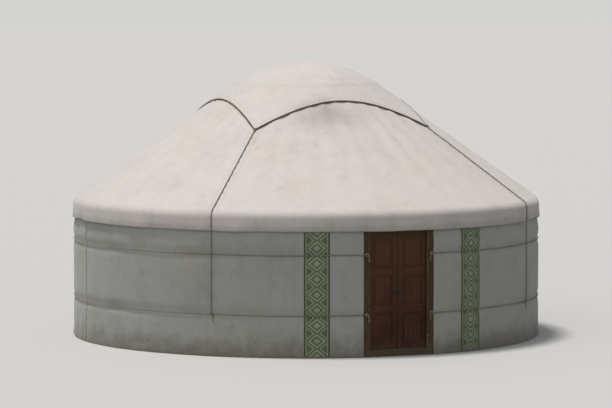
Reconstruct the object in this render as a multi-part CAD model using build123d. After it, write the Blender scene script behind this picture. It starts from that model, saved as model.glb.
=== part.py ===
from build123d import *
import os
from itertools import pairwise
from math import asin, cos, degrees, radians, sin, sqrt, tan

# A felt-covered yurt: a folding lattice wall, bent roof poles, a domed crown,
# felts held down by ropes, and a two-leaf wooden door. Millimetres, +Z up.
# The origin is on the yurt's axis at ground level, and the door faces -Y.
# Angles round the yurt start at the door and grow towards +X.

# Fits
fit = 0.3
running_gap = 5.0
meeting_gap = 6.0
felt_seam = 0.6

# Flat facets that the felts, the rim and the bands are made of, all the way round
facets = 48

# Lattice wall
lattice_radius = 2760.0
lattice_height = 1590.0
lath_width = 27.0
lath_thickness = 12.0
head_length = 60.0
top_crossing_height = lattice_height - head_length
bottom_crossing_height = head_length
sections = 6
heads_per_section = 7
crossing_steps = 6

# Woven band that holds the top of the lattice in
tension_band_thickness = 3.0
tension_band_height = 60.0
tension_band_rise = 5.0
tension_band_top = top_crossing_height + tension_band_rise

# Felts
wall_felt_thickness = 18.0
wall_felt_drop = 30.0
wall_felt_top = lattice_height - wall_felt_drop
wall_felts = 4
roof_felt_thickness = 18.0
roof_felts = 4
eave_rise = 30.0
eave_corner_height = lattice_height + eave_rise
skirt_depth = 190.0
skirt_hem_height = eave_corner_height - skirt_depth
eave_bend_radius = 90.0
bend_steps = 3
roof_slope = 35.0
cover_thickness = 12.0
cover_half_side = 1100.0

# Roof poles
pole_depth = 38.0
pole_width = 36.0
pole_bend_radius = 120.0
pole_bend_steps = 2
pole_foot_drop = 90.0
pole_foot_height = top_crossing_height - pole_foot_drop
pole_tenon = 24.0
pole_tenon_length = 24.0
lintel_poles = 2

# Crown
rim_radius = 850.0
rim_width = 75.0
rim_height = 85.0
rim_joints = 4
dome_start_gap = 30.0
dome_steps = 5
bar_steps = 8
crown_bars_each_way = 3
crown_bar_pitch = 120.0
crown_bar_width = 32.0
crown_bar_depth = 38.0
crown_bar_seat = 45.0

# Door frame
frame_half_width = 430.0
frame_depth = 110.0
frame_setback = 3.5
jamb_width = 60.0
lip_width = 20.0
lip_depth = 25.0
threshold_height = 60.0
lintel_drop = 150.0
lintel_underside = lattice_height - lintel_drop
lintel_height = 120.0
peg_radius = 8.0
peg_sides = 8
peg_length = 30.0
peg_inset = 30.0

# Door leaves
leaf_thickness = 35.0
stile_width = 62.0
rail_height = 90.0
panel_recess = 10.0
panels_per_leaf = 3
field_margin = 28.0
field_rise = 5.0
pin_radius = 12.0
pin_clearance = 0.5
pin_reach = 25.0
pull_height = 760.0
pull_ring_radius = 24.0
pull_ring_sides = 10
pull_wire_radius = 4.0
pull_post_radius = 7.0
pull_post_sides = 8
pull_post_length = 14.0

# Bands and ropes
band_thickness = 2.0
band_angle = 20.0
band_width = 290.0
band_foot = 20.0
band_head_gap = 8.0
rope_radius = 6.0
rope_sides = 4
girth_rope_heights = (480.0, 1160.0)
rope_end_gap = 1.6
crown_rope_tail = 40.0
crown_rope_end_height = girth_rope_heights[0] - crown_rope_tail

# Radii that follow from the layers of the wall, from the lattice outwards
band_inner_radius = lattice_radius + fit
wall_felt_inner = band_inner_radius + tension_band_thickness + fit
wall_felt_outer = wall_felt_inner + wall_felt_thickness
skirt_inner = wall_felt_outer + fit
skirt_outer = skirt_inner + roof_felt_thickness

# The doorway and the facets of the wall
facet_angle = 360 / facets
facet_cos = cos(radians(facet_angle / 2))
frame_face = sqrt((skirt_inner - frame_setback) ** 2 - frame_half_width**2)
lattice_depth = 2 * lath_thickness
door_angle = degrees(asin((frame_half_width + fit) / (lattice_radius - lattice_depth)))
felt_start_angle = degrees(asin((frame_half_width + fit) / wall_felt_inner))
heads = sections * heads_per_section
head_pitch = (360 - 2 * door_angle) / heads
lattice_face = lattice_radius * cos(radians(head_pitch / 2)) - lattice_depth

# The roof's slope, as the inner face of the roof felts
slope_rise = tan(radians(roof_slope))
slope_cos = cos(radians(roof_slope))
slope_sin = sin(radians(roof_slope))
dome_start = rim_radius + dome_start_gap
dome_radius = dome_start / slope_sin
cover_offset = roof_felt_thickness + fit + cover_thickness
dome_start_height = (
    eave_corner_height + (skirt_inner - dome_start) * slope_rise + cover_offset / slope_cos
)
dome_centre = dome_start_height - dome_radius * slope_cos
dome_inner = dome_radius - cover_thickness
dome_under = dome_inner * cos(radians(roof_slope / dome_steps / 2)) - fit
rim_top = dome_centre + sqrt(dome_under**2 - rim_radius**2)
rim_bottom = rim_top - rim_height


def polar(radius, angle, height=0.0):
    """The point at this radius and height, at an angle from the door."""
    return Vector(
        radius * sin(radians(angle)), -radius * cos(radians(angle)), height
    )


def radial_plane(angle):
    """An upright plane through the axis, its x pointing outwards and its y up."""
    return Plane(
        origin=(0, 0, 0),
        x_dir=polar(1, angle),
        z_dir=(-cos(radians(angle)), -sin(radians(angle)), 0),
    )


def facet_reach(angle):
    """How much further out than the middle of its facet a point at this angle is."""
    return 1 / cos(radians(angle % facet_angle - facet_angle / 2))


def sector(profile, start, stop):
    """Turns a closed profile, in radius and height, into flat facets side by side."""
    first = int(start // facet_angle) + 1
    angles = [start]
    angles += [facet_angle * i for i in range(first, first + facets)]
    angles = [angle for angle in angles if angle < stop] + [stop]
    rings = [
        [polar(radius * facet_reach(angle), angle, height) for radius, height in profile]
        for angle in angles
    ]
    faces = []
    if stop - start < 360:
        faces += [make_face(Polyline(*ring, close=True)) for ring in (rings[0], rings[-1])]
    for ring, after in pairwise(rings):
        for i in range(len(profile)):
            corners = [ring[i - 1], ring[i]]
            corners += [after[i]] if profile[i][0] > fit else []
            corners += [after[i - 1]] if profile[i - 1][0] > fit else []
            if len(corners) > 2:
                faces.append(make_face(Polyline(*corners, close=True)))
    return Solid(Shell(faces))


def rectangle_profile(inner, outer, bottom, top):
    """A rectangle in radius and height."""
    return [(inner, bottom), (outer, bottom), (outer, top), (inner, top)]


def block(x_range, y_range, z_range):
    """A box between two corners."""
    size = [high - low for low, high in (x_range, y_range, z_range)]
    middle = [(high + low) / 2 for low, high in (x_range, y_range, z_range)]
    return Pos(*middle) * Box(*size)


def slope_height(radius, offset=0.0):
    """Height of the roof's slope at a radius, offset square to the slope."""
    return (
        eave_corner_height + (skirt_inner - radius) * slope_rise + offset / slope_cos
    )


def arc_points(centre, radius, start, stop, steps):
    """Points along an arc, in degrees, where its chords meet."""
    angles = [start + (stop - start) * i / steps for i in range(steps + 1)]
    return [
        (centre[0] + radius * cos(radians(a)), centre[1] + radius * sin(radians(a)))
        for a in angles
    ]


def eave_bend(outer, offset, bend_radius, steps=bend_steps):
    """The chords that lead from an upright at this radius to the offset slope."""
    across = outer - bend_radius
    centre = (across, slope_height(across, offset - bend_radius))
    return arc_points(centre, bend_radius, 0, 90 - roof_slope, steps)


def facet_wall(outer, thickness, first, last, bottom, top):
    """A stretch of the faceted wall, with its corners half way between heads."""
    inner = outer - thickness / cos(radians(head_pitch / 2))
    angles = [door_angle + head_pitch * i for i in range(first, last + 1)]
    outline = [polar(outer, angle, bottom) for angle in angles]
    outline += [polar(inner, angle, bottom) for angle in reversed(angles)]
    face = make_face(Polyline(*outline, close=True))
    return extrude(face, amount=top - bottom, dir=(0, 0, 1))


def lath_slab(column, lean):
    """A leaning slab whose overlap with a layer of the wall is one lath.

    The column is where the lath crosses the middle of the wall's height."""
    angle = door_angle + head_pitch * column
    half_run = head_pitch * crossing_steps / 4
    half_rise = (top_crossing_height - bottom_crossing_height) / 2
    middle = bottom_crossing_height + half_rise
    radius = lattice_radius - lath_thickness
    along = polar(1, angle + 90) * (lean * radius * sin(radians(half_run)))
    along += Vector(0, 0, half_rise)
    plane = Plane(origin=polar(radius, angle, middle), x_dir=along, z_dir=polar(1, angle))
    return plane * Box(2 * lattice_height, lath_width, 2 * frame_half_width)


def lattice_section(index):
    """One folding section: two layers of leaning laths, joined where they cross."""
    first = index * heads_per_section
    last = first + heads_per_section
    laths = []
    for layer, lean in enumerate((1, -1)):
        outer = lattice_radius - layer * lath_thickness / cos(radians(head_pitch / 2))
        wall = facet_wall(outer, lath_thickness, first, last, 0, lattice_height)
        reach = crossing_steps // 2 + 1
        for head in range(first - reach, last + reach):
            column = head + 0.5 - lean * crossing_steps / 4
            lath = wall & lath_slab(column, lean)
            laths += [piece for piece in lath.solids() if piece.volume > lath_width**3]
    return laths[0].fuse(*laths[1:]).clean()


def tension_band():
    """The woven band round the lattice heads, from jamb to jamb."""
    outer = band_inner_radius + tension_band_thickness
    return facet_wall(
        outer,
        tension_band_thickness,
        0,
        heads,
        tension_band_top - tension_band_height,
        tension_band_top,
    )


def roof_pole(angle, foot_radius, foot_height):
    """A pole: upright foot, bend, straight shaft under the felt, and a tenon."""
    lower = -fit - pole_depth
    shoulder = rim_radius + fit
    foot_inner = foot_radius - pole_depth
    outline = [(foot_radius, foot_height)]
    outline += eave_bend(foot_radius, -fit, pole_bend_radius, pole_bend_steps)
    outline += [(shoulder, slope_height(shoulder, -fit))]
    outline += [(shoulder, slope_height(shoulder, lower))]
    inner_bend = pole_bend_radius - pole_depth
    outline += reversed(eave_bend(foot_inner, lower, inner_bend, pole_bend_steps))
    outline += [(foot_inner, foot_height)]
    side = radial_plane(angle) * make_face(Polyline(*outline, close=True))
    shaft = extrude(side, amount=pole_width / 2, both=True)
    return shaft.fuse(pole_tongue(angle, pole_tenon, pole_tenon_length))


def pole_tongue(angle, width, length):
    """The square tongue at a pole's top end, or its mortise in the rim."""
    axis_height = slope_height(rim_radius, -fit - pole_depth / 2)
    upwards = Vector(-polar(1, angle).X, -polar(1, angle).Y, slope_rise)
    plane = Plane(
        origin=polar(rim_radius, angle, axis_height),
        x_dir=polar(1, angle + 90),
        z_dir=upwards,
    )
    root = pole_tenon
    return plane * (Pos(0, 0, (length - root) / 2) * Box(width, width, length + root))


def crown_arch(offset, turn, gap):
    """One arched crown bar, at an offset from the middle, grown by a gap."""
    width = crown_bar_width + 2 * gap
    edge = abs(offset) + crown_bar_width / 2
    outer = sqrt(dome_under**2 - edge**2) + gap
    inner = outer - crown_bar_depth - 2 * gap
    outline = arc_points((0, 0), outer, 90 - roof_slope, 90 + roof_slope, bar_steps)
    outline += reversed(arc_points((0, 0), inner, 90 - roof_slope, 90 + roof_slope, bar_steps))
    face = Plane.XZ * make_face(Polyline(*outline, close=True))
    arch = extrude(face, amount=width / 2, both=True)
    return Rot(0, 0, turn) * Pos(0, offset, dome_centre) * arch


def crown_arches(gap, reach):
    """The two crossing sets of bars, cut to the circle of the rim."""
    middle = (crown_bars_each_way - 1) / 2
    arches = [
        crown_arch((i - middle) * crown_bar_pitch, turn, gap)
        for turn in (0, 90)
        for i in range(crown_bars_each_way)
    ]
    cutter = Pos(0, 0, dome_centre + dome_radius) * Cylinder(reach, 2 * dome_radius)
    cut = [arch & cutter for arch in arches]
    return cut[0].fuse(*cut[1:])


def crown_rim(index, poles, slots):
    """One bent length of the rim, with its mortises and the seats of the bars."""
    share = 360 / rim_joints
    start = index * share + fit / 2
    stop = (index + 1) * share - fit / 2
    outer = rim_radius * facet_cos
    rim = sector(rectangle_profile(outer - rim_width, outer, rim_bottom, rim_top), start, stop)
    for angle in poles:
        if start < angle % 360 < stop:
            rim -= pole_tongue(angle, pole_tenon + 2 * fit, pole_tenon_length + fit)
    return rim - slots


def wall_felt(index):
    """One wall felt, hanging from under the skirt to the ground."""
    share = 360 / wall_felts
    start = felt_start_angle if index == 0 else index * share
    stop = (index + 1) * share
    if index == wall_felts - 1:
        stop = 360 - felt_start_angle
    profile = rectangle_profile(wall_felt_inner, wall_felt_outer, 0, wall_felt_top)
    seam = degrees(felt_seam / 2 / wall_felt_inner)
    return sector(profile, start + seam, stop - seam)


def roof_profile(outer_offset, inner_offset, top_radius, hem):
    """A layer of the roof: hanging skirt, eave bend and straight slope."""
    sides = []
    for offset in (outer_offset, inner_offset):
        upright = skirt_inner + offset
        side = [(upright, hem)]
        side += eave_bend(upright, offset, eave_bend_radius + offset)
        side += [(top_radius, slope_height(top_radius, offset))]
        sides.append(side)
    return sides[0] + sides[1][::-1]


def roof_felt(index):
    """One roof felt with its share of the skirt over the top of the wall."""
    share = 360 / roof_felts
    seam = degrees(felt_seam / 2 / skirt_inner)
    start = (index - 0.5) * share + seam
    profile = roof_profile(roof_felt_thickness, 0, dome_start + fit, skirt_hem_height)
    return sector(profile, start, start + share - 2 * seam)


def crown_cover():
    """The square felt over the crown: a dome that runs out along the slope."""
    corner = sqrt(2) * cover_half_side
    low = roof_felt_thickness + fit
    outline = []
    for radius, offset in ((dome_inner, low), (dome_radius, low + cover_thickness)):
        side = arc_points((0, dome_centre), radius, 90, 90 - roof_slope, dome_steps)
        side += [(corner, slope_height(corner, offset))]
        outline = side + outline[::-1]
    dome = sector(outline, 0, 360)
    square = Pos(0, 0, dome_start_height) * Box(
        2 * cover_half_side, 2 * cover_half_side, 2 * cover_half_side
    )
    return dome & square


def rope_along(path, away):
    """A rope of few sides along a path, one corner turned away from the felt."""
    plane = Plane(origin=path @ 0, x_dir=away, z_dir=path % 0)
    section = plane * RegularPolygon(rope_radius, rope_sides)
    return sweep(section, path=path, transition=Transition.RIGHT)


def girth_rope(height):
    """A rope round the wall, from the peg on one jamb to the peg on the other."""
    centre = wall_felt_outer + fit + band_thickness + fit + rope_radius
    peg_edge = frame_half_width - peg_inset + peg_radius + rope_end_gap
    start = degrees(asin(peg_edge / centre))
    first = int(start // facet_angle) + 1
    angles = [start] + [facet_angle * i for i in range(first, facets - first + 1)] + [360 - start]
    points = [polar(centre * facet_reach(angle), angle, height) for angle in angles]
    return rope_along(Polyline(*points), polar(1, start))


def crown_rope(angle):
    """A rope from a corner of the crown cover, down the roof and the skirt."""
    top_radius = sqrt(2) * cover_half_side * facet_cos + rope_radius + fit
    lift = roof_felt_thickness + fit + rope_radius
    outer = skirt_outer + fit + rope_radius
    points = [(outer, crown_rope_end_height)]
    points += eave_bend(outer, lift, eave_bend_radius + lift)
    points += [(top_radius, slope_height(top_radius, lift))]
    path = Polyline(*[polar(radius / facet_cos, angle, height) for radius, height in points])
    return rope_along(path, polar(1, angle))


def door_band(side):
    """A woven band down the wall beside the door."""
    inner = wall_felt_outer + fit
    half = degrees(band_width / 2 / inner)
    profile = rectangle_profile(
        inner, inner + band_thickness, band_foot, skirt_hem_height - band_head_gap
    )
    return sector(profile, side * band_angle - half, side * band_angle + half)


# The door leaves' place in the frame
front = -frame_face
back = front + frame_depth
opening_half = frame_half_width - jamb_width
leaf_front = front + lip_depth + running_gap
leaf_middle = leaf_front + leaf_thickness / 2
leaf_outer = opening_half - running_gap
pivot = leaf_outer - leaf_thickness / 2
leaf_bottom = threshold_height + running_gap
leaf_top = lintel_underside - running_gap
peg_places = [(frame_half_width - peg_inset, height) for height in girth_rope_heights]


def door_jamb(side):
    """A door post with a lip in front of the leaf and two pegs for the ropes."""
    post = block((opening_half, frame_half_width), (front, back), (0, lintel_underside))
    lip = block(
        (opening_half - lip_width, opening_half),
        (front, front + lip_depth),
        (threshold_height + lip_width, lintel_underside - lip_width),
    )
    jamb = post.fuse(lip)
    for across, height in peg_places:
        peg = Plane.XZ * extrude(RegularPolygon(peg_radius, peg_sides), amount=peg_length, both=True)
        jamb = jamb.fuse(Pos(across, front, height) * peg)
    return jamb if side > 0 else mirror(jamb, about=Plane.YZ)


def pin_holes(height):
    """The two sockets that the leaves' pins turn in."""
    depth = 2 * (pin_reach + fit)
    hole = Cylinder(pin_radius + pin_clearance, depth)
    return [Pos(side * pivot, leaf_middle, height) * hole for side in (-1, 1)]


def door_lintel():
    """The beam over the doorway, with a lip in front of the leaves."""
    top = lintel_underside + lintel_height
    beam = block((-frame_half_width, frame_half_width), (front, back), (lintel_underside, top))
    lip = block(
        (-opening_half, opening_half),
        (front, front + lip_depth),
        (lintel_underside - lip_width, lintel_underside),
    )
    beam = beam.fuse(lip)
    for hole in pin_holes(lintel_underside):
        beam -= hole
    return beam


def door_threshold():
    """The sill between the posts, with a lip in front of the leaves."""
    sill = block((-opening_half, opening_half), (front, back), (0, threshold_height))
    lip = block(
        (-opening_half, opening_half),
        (front, front + lip_depth),
        (threshold_height, threshold_height + lip_width),
    )
    sill = sill.fuse(lip)
    for hole in pin_holes(threshold_height):
        sill -= hole
    return sill


def door_leaf(side):
    """A framed leaf with raised panels, hung on wooden pins top and bottom."""
    meeting = meeting_gap / 2
    y_range = (leaf_front, leaf_front + leaf_thickness)
    leaf = block((meeting, pivot), y_range, (leaf_bottom, leaf_top))
    height = leaf_top - leaf_bottom
    round_edge = Cylinder(leaf_thickness / 2, height)
    leaf = leaf.fuse(Pos(pivot, leaf_middle, leaf_bottom + height / 2) * round_edge)
    panel_left = meeting + stile_width
    panel_right = leaf_outer - stile_width
    panel_height = (height - rail_height * (panels_per_leaf + 1)) / panels_per_leaf
    for i in range(panels_per_leaf):
        low = leaf_bottom + rail_height + i * (panel_height + rail_height)
        for face_y, inward in ((y_range[0], 1), (y_range[1], -1)):
            pocket = block(
                (panel_left, panel_right),
                sorted((face_y, face_y + inward * panel_recess)),
                (low, low + panel_height),
            )
            floor_y = face_y + inward * panel_recess
            field = block(
                (panel_left + field_margin, panel_right - field_margin),
                sorted((floor_y, floor_y - inward * field_rise)),
                (low + field_margin, low + panel_height - field_margin),
            )
            leaf = leaf - pocket
            leaf = leaf.fuse(field)
    for end in (leaf_bottom, leaf_top):
        pin = Cylinder(pin_radius, 2 * (pin_reach + running_gap))
        leaf = leaf.fuse(Pos(pivot, leaf_middle, end) * pin)
    return leaf if side > 0 else mirror(leaf, about=Plane.YZ)


def door_pull(side):
    """A forged ring that hangs on a short post on the meeting stile."""
    across = meeting_gap / 2 + stile_width / 2
    post_section = Plane.XZ * RegularPolygon(pull_post_radius, pull_post_sides)
    post = Pos(across, leaf_front, pull_height) * extrude(post_section, amount=pull_post_length)
    outline = RegularPolygon(pull_ring_radius + pull_wire_radius, pull_ring_sides)
    outline -= RegularPolygon(pull_ring_radius - pull_wire_radius, pull_ring_sides)
    ring = Plane.XZ * extrude(outline, amount=pull_wire_radius, both=True)
    ring_middle = (
        across,
        leaf_front - pull_post_length + pull_wire_radius,
        pull_height - pull_ring_radius,
    )
    pull = post.fuse(Pos(*ring_middle) * ring)
    return pull if side > 0 else mirror(pull, about=Plane.YZ)


def save(name, *shapes):
    """Writes one node, of one solid or of like solids that don't touch."""
    solids = [solid for shape in shapes for solid in shape.solids()]
    whole = solids[0] if len(solids) == 1 else Compound(solids)
    export_step(whole, f"parts/{name}.step")


os.makedirs("parts", exist_ok=True)

for index in range(sections):
    save(f"lattice_section_{index + 1}", lattice_section(index))
save("tension_band", tension_band())

lattice_angles = [door_angle + head_pitch * (i + 0.5) for i in range(heads)]
door_gap = 2 * (door_angle + head_pitch / 2) / (lintel_poles + 1)
lintel_angles = [
    -(door_angle + head_pitch / 2) + door_gap * (i + 1) for i in range(lintel_poles)
]
lintel_foot_radius = frame_face - (frame_depth - pole_depth) / 2
lintel_top = lintel_underside + lintel_height
poles = [(angle, lattice_face - fit, pole_foot_height) for angle in lattice_angles]
poles += [(angle % 360, lintel_foot_radius, lintel_top) for angle in lintel_angles]
for name, start in (("right", 0), ("back_right", 90), ("back_left", 180), ("left", 270)):
    group = [roof_pole(*pole) for pole in poles if start <= pole[0] < start + 90]
    save(f"roof_poles_{name}", *group)

slots = crown_arches(fit, rim_radius - crown_bar_seat + fit)
pole_angles = [pole[0] for pole in poles]
for index in range(rim_joints):
    save(f"crown_rim_{index + 1}", crown_rim(index, pole_angles, slots))
save("crown_bars", crown_arches(0, rim_radius - crown_bar_seat))

for index, name in enumerate(("right", "back_right", "back_left", "left")):
    save(f"wall_felt_{name}", wall_felt(index))
for index, name in enumerate(("front", "right", "back", "left")):
    save(f"roof_felt_{name}", roof_felt(index))
save("crown_cover", crown_cover())

for name, side in (("left", -1), ("right", 1)):
    save(f"door_jamb_{name}", door_jamb(side))
    save(f"door_leaf_{name}", door_leaf(side))
    save(f"door_pull_{name}", door_pull(side))
    save(f"door_band_{name}", door_band(side))
save("door_lintel", door_lintel())
save("door_threshold", door_threshold())

for name, height in zip(("lower", "upper"), girth_rope_heights):
    save(f"girth_rope_{name}", girth_rope(height))
for index, name in enumerate(("front_right", "back_right", "back_left", "front_left")):
    save(f"crown_rope_{name}", crown_rope(45 + 90 * index))
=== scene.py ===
from functools import partial, partialmethod
from math import asin, cos, exp, hypot, pi, radians, sin, sqrt, tan

import bmesh
import bpy
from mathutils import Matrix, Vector, noise


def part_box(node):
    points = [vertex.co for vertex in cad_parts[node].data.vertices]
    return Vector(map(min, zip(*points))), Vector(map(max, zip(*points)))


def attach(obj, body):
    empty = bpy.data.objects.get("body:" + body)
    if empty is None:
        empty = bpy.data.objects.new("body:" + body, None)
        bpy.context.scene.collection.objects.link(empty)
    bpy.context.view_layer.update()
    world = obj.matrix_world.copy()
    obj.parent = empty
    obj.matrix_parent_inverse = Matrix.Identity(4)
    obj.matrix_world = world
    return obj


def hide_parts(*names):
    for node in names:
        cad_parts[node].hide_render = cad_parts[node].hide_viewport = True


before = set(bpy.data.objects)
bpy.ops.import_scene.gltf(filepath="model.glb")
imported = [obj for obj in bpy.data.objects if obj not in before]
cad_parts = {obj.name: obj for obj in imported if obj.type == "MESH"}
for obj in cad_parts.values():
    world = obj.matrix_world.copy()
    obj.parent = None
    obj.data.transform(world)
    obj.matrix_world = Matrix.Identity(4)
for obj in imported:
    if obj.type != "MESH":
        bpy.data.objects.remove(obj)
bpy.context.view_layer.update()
scene = bpy.context.scene

# Wall felts
# Four felts of pressed sheep's wool hang round the lattice, from under the
# skirt to the foot of the wall. They belly out between the two ropes that hold
# them in, and their edges meet in laced seams.

wall_facets = 48
felt_thickness = 0.018
felt_cell = 0.027
wall_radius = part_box("wall_felt_back_right")[1].x * cos(pi / wall_facets)
wall_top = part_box("wall_felt_right")[1].z
door_half_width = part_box("door_lintel")[1].x
rope_heights = [
    sum(corner.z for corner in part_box(f"girth_rope_{name}")) / 2 for name in ("lower", "upper")
]
rope_bite = 0.05
wall_belly = 0.0065
wall_fold = 0.011
folds_around = 5.2
eave_grip = (0.30, 0.12)
hem_flare = 0.006
hem_flare_height = 0.12
seam_gap = 0.0006
quarter = pi / 2
door_sides = (("left", -1), ("right", 1))
# The wall's wool is darker than the roof's: partly a greyer felt, partly painted shade of walls that
# stand under the eave, below a high lamp.
wall_wool_pale_shaded = (0.555, 0.552, 0.520, 1)
wall_wool_dull_shaded = (0.345, 0.340, 0.312, 1)
wall_wool_aged_shaded = (0.540, 0.515, 0.430, 1)
# Soil brown, also used as painted shade at the foot of the wall.
wool_soil_and_shade = (0.255, 0.222, 0.175, 1)


def at(radius, angle, height):
    """A point at an angle from the door, growing towards +X."""
    return Vector((radius * sin(angle), -radius * cos(angle), height))


def round_axis(angle, scale):
    """A place for noise that closes on itself round the yurt."""
    return Vector((sin(angle), cos(angle), 0)) * scale


def smooth(value, low, high):
    """0 below low, 1 above high, and an easy step between."""
    t = min(max((value - low) / (high - low), 0.0), 1.0)
    return t * t * (3 - 2 * t)


def held_in(height):
    """How firmly the ropes press the wall in at a height, from 0 to 1."""
    return min(1.0, sum(exp(-(((height - rope) / rope_bite) ** 2)) for rope in rope_heights))


def wall_bulge(angle, height):
    """How far the hanging wall felts stand proud of an even round wall."""
    free = 1 - held_in(height)
    below_eave = 1 - smooth(height, wall_top - eave_grip[0], wall_top - eave_grip[1])
    around = round_axis(angle, folds_around)
    fold = noise.noise(around + Vector((0, 0, height * 0.45)))
    crease = noise.noise(around * 2.6 + Vector((7, 3, height * 1.1)))
    folds = wall_fold * (0.55 + 0.75 * fold + 0.35 * crease)
    low = 1 - smooth(height, 0.0, hem_flare_height)
    hem = hem_flare * low * (1 + noise.noise(around * 3.1))
    return free * below_eave * (wall_belly + max(folds, 0.0)) + hem


def wall_point(angle, height, lift=0.0):
    """A point on the outside of the wall felts."""
    return at(wall_radius + lift + wall_bulge(angle, height), angle, height)


def new_object(name, data):
    """An object at the origin, with its place in its mesh."""
    made = bpy.data.objects.new(name, data)
    scene.collection.objects.link(made)
    return made


def new_piece(name, points, edges=(), faces=()):
    """An object made of points, and of the edges or faces between them."""
    mesh = bpy.data.meshes.new(name)
    mesh.from_pydata(points, edges, faces)
    return new_object(name, mesh)


def settle(piece, body="house", node=None):
    """Hides the CAD node a piece stands in for, and hangs the piece on the body it moves with."""
    if node:
        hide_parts(node)
    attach(piece, body)
    return piece


def cloth(name, node, material, place_on, size, thickness, cell=felt_cell):
    """A sheet of cloth with soft edges, laid by a rule that takes 0 to 1 both ways."""
    wide, long = size
    columns = max(2, round(wide / cell))
    rows = max(2, round(long / cell))
    points = [
        place_on(column / columns, row / rows)
        for row in range(rows + 1)
        for column in range(columns + 1)
    ]
    faces = []
    for row in range(rows):
        for column in range(columns):
            corner = row * (columns + 1) + column
            above = corner + columns + 1
            faces.append((corner, corner + 1, above + 1, above))
    piece = new_piece(name, points, faces=faces)
    mesh = piece.data
    mesh.shade_smooth()
    cut = mesh.uv_layers.new(name="cut")
    for loop in mesh.loops:
        row, column = divmod(loop.vertex_index, columns + 1)
        cut.data[loop.index].uv = (column / columns * wide, row / rows * long)
    solid = piece.modifiers.new("thickness", "SOLIDIFY")
    solid.thickness = thickness
    solid.offset = -1
    soft = piece.modifiers.new("soft edge", "BEVEL")
    soft.width = thickness * 0.3
    soft.segments = 2
    soft.angle_limit = radians(60)
    mesh.materials.append(material)
    return settle(piece, node=node)


class Flow:
    """A value in a node tree. Sums of such values place their own nodes."""

    def __init__(self, tree, socket):
        self.tree = tree
        self.socket = socket

    def __getitem__(self, name):
        """Another output of the same node."""
        return Flow(self.tree, self.socket.node.outputs[name])

    def sum(self, operation, *others):
        """One sum of this value and others."""
        return place(self.tree, "ShaderNodeMath", self, *others, operation=operation)

    def vector_sum(self, operation, *others):
        """One sum of this vector and others."""
        return place(self.tree, "ShaderNodeVectorMath", self, *others, operation=operation)

    __add__ = partialmethod(sum, "ADD")
    __sub__ = partialmethod(sum, "SUBTRACT")
    __mul__ = partialmethod(sum, "MULTIPLY")
    __truediv__ = partialmethod(sum, "DIVIDE")
    __mod__ = partialmethod(sum, "MODULO")
    __abs__ = partialmethod(sum, "ABSOLUTE")
    __lt__ = partialmethod(sum, "LESS_THAN")
    __gt__ = partialmethod(sum, "GREATER_THAN")
    lesser = partialmethod(sum, "MINIMUM")
    larger = partialmethod(sum, "MAXIMUM")

    def __rsub__(self, other):
        return place(self.tree, "ShaderNodeMath", other, self, operation="SUBTRACT")

    def between(self, low, high):
        """1 where this value lies between two others."""
        return (self > low) * (self < high)

    def inside(self, low, high):
        """How far this value lies inside two edges."""
        return (self - low).lesser(high - self)

    def ramp(self, low, high):
        """0 at low and 1 at high, smoothly."""
        kind = "ShaderNodeMapRange"
        return place(self.tree, kind, self, low, high, interpolation_type="SMOOTHSTEP")

    def blend(self, first, second):
        """The second colour over the first, as far as this mask says."""
        numbered = {0: self, 6: first, 7: second}
        return place(self.tree, "ShaderNodeMix", numbered=numbered, data_type="RGBA")[2]

    def parts(self):
        """X, Y and Z of this vector."""
        return place(self.tree, "ShaderNodeSeparateXYZ", self)

    def length(self):
        """How long this vector is."""
        return self.vector_sum("LENGTH")["Value"]

    def scaled(self, factor):
        """This vector or colour times a number."""
        return place(self.tree, "ShaderNodeVectorMath", self, Scale=factor, operation="SCALE")

    def drawn_out(self, scale):
        """This vector with each part scaled, as along a grain."""
        return place(self.tree, "ShaderNodeMapping", Vector=self, Scale=scale)

    def noise(self, scale, detail=3.0, roughness=0.55, distortion=0.0):
        """A noise between 0 and 1 at this place."""
        inputs = {"Scale": scale, "Detail": detail, "Roughness": roughness, "Distortion": distortion}
        return place(self.tree, "ShaderNodeTexNoise", Vector=self, **inputs)

    def through(self, group, **values):
        """What a shader group makes at this place with its own values."""
        return place(self.tree, "ShaderNodeGroup", node_tree=group, Vector=self, **values)


def place(tree, kind, *in_order, numbered=None, **named):
    """Adds a node. Its inputs go in order, by number or by name, and settings are lower case."""
    made = tree.nodes.new(kind)
    inputs = numbered or dict(enumerate(in_order))
    for name, value in named.items():
        if name[0].isupper():
            inputs[name.replace("_", " ")] = value
        else:
            setattr(made, name, value)
    for name, value in inputs.items():
        if isinstance(value, Flow):
            tree.links.new(value.socket, made.inputs[name])
        else:
            made.inputs[name].default_value = value
    return Flow(tree, made.outputs[0])


def joined_parts(tree, **parts):
    """A vector out of its parts."""
    return place(tree, "ShaderNodeCombineXYZ", **parts)


def new_group(name, *numbers, tree_kind="ShaderNodeTree", **others):
    """What enters a new node group: its numbers, and other inputs with their kinds."""
    group = bpy.data.node_groups.new(name, tree_kind)
    for socket, kind in (others | dict.fromkeys(numbers, "Float")).items():
        group.interface.new_socket(socket, in_out="INPUT", socket_type=f"NodeSocket{kind}")
    return place(group, "NodeGroupInput")


def lead_out(group, **results):
    """Gives a node group its outputs."""
    leave = group.nodes.new("NodeGroupOutput")
    for name, value in results.items():
        kind = name if name in ("Color", "Geometry") else "Float"
        group.interface.new_socket(name, in_out="OUTPUT", socket_type=f"NodeSocket{kind}")
        group.links.new(value.socket, leave.inputs[name])
    return group


def new_material(name, **constants):
    """A material, its shader with plain numbers set here, and Object coordinates."""
    material = bpy.data.materials.new(name)
    material.use_nodes = True
    tree = material.node_tree
    shader = tree.nodes["Principled BSDF"]
    for socket, value in constants.items():
        shader.inputs[socket.replace("_", " ")].default_value = value
    return material, shader, place(tree, "ShaderNodeTexCoord")["Object"]


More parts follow.
